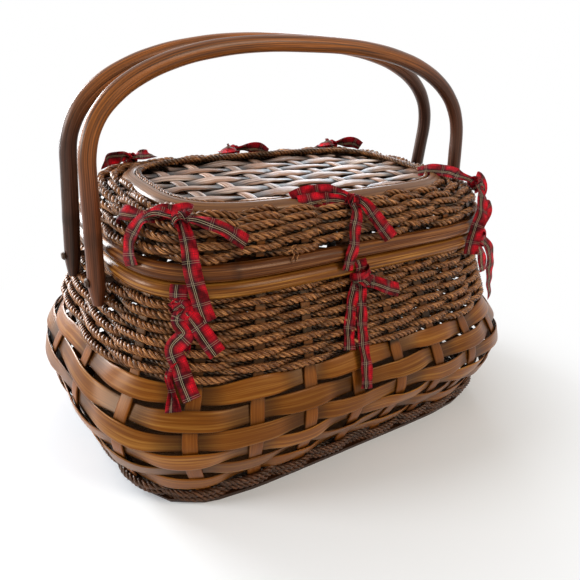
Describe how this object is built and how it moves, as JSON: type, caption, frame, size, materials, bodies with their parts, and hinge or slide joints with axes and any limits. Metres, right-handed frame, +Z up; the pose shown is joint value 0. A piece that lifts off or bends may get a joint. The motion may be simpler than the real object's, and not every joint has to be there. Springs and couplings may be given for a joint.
{
  "type": "picnic basket",
  "caption": "Woven rattan picnic basket with a bulged belt of wide strips, a hinged lid with a willow panel, swinging pole handles and ribbon ties.",
  "frame": {"origin": "middle of the flat underside", "axes": "+Z up; +X along the basket's length, to the right seen from the front; the front faces -Y and the lid's hinge is on +Y"},
  "size_m": [0.5428, 0.379, 0.4231],
  "materials": {
    "board": "rough",
    "rope": "rough",
    "stakes": "satin",
    "strips": "satin",
    "body_rod": "satin",
    "lid_rod": "satin",
    "cane": "satin",
    "panel": "satin",
    "front_pole": "satin",
    "rear_pole": "satin",
    "pegs": "satin",
    "ribbon": "matte"
  },
  "bodies": {
    "basket": {"base_board": "board", "base_hoop": "board", "foot_rope_wall": "rope", "stake_frame": "stakes", "belt_strip_1": "strips", "belt_strip_2": "strips", "belt_strip_3": "strips", "belt_strip_4": "strips", "belt_strip_5": "strips", "belt_strip_6": "strips", "body_rope_wall": "rope", "inner_hoop": "stakes", "body_rim_rod": "body_rod", "left_hinge_loop": "cane", "right_hinge_loop": "cane", "front_left_handle_pin": "pegs", "front_right_handle_pin": "pegs", "rear_left_handle_pin": "pegs", "rear_right_handle_pin": "pegs", "body_tie_front_left": "ribbon", "body_tie_front_middle": "ribbon", "body_tie_right_end": "ribbon", "body_tie_rear_left": "ribbon", "body_tie_rear_middle": "ribbon", "body_tie_rear_right": "ribbon"},
    "lid": {"lid_rim_rod": "lid_rod", "lid_rope_wall": "rope", "lid_cane_band": "cane", "lid_border_rope": "rope", "panel_frame": "stakes", "panel_strip_1": "panel", "panel_strip_2": "panel", "panel_strip_3": "panel", "panel_strip_4": "panel", "panel_strip_5": "panel", "panel_strip_6": "panel", "panel_strip_7": "panel", "panel_strip_8": "panel", "lid_tie_front_left": "ribbon", "lid_tie_front_middle": "ribbon", "lid_tie_right_end": "ribbon", "lid_tie_rear_left": "ribbon", "lid_tie_rear_middle": "ribbon", "lid_tie_rear_right": "ribbon"},
    "front_handle_body": {"front_handle": "front_pole"},
    "rear_handle_body": {"rear_handle": "rear_pole"}
  },
  "joints": [
    {"name": "lid_hinge", "type": "hinge", "parent": "basket", "child": "lid", "pos_m": [0, 0.1377, 0.2343], "axis": [-1, 0, 0], "range_deg": [0, 22]},
    {"name": "front_handle_hinge", "type": "hinge", "parent": "basket", "child": "front_handle_body", "pos_m": [0, -0.03839, 0.205], "axis": [1, 0, 0], "range_deg": [-3, 90]},
    {"name": "rear_handle_hinge", "type": "hinge", "parent": "basket", "child": "rear_handle_body", "pos_m": [0, 0.03839, 0.205], "axis": [-1, 0, 0], "range_deg": [-3, 90]}
  ]
}
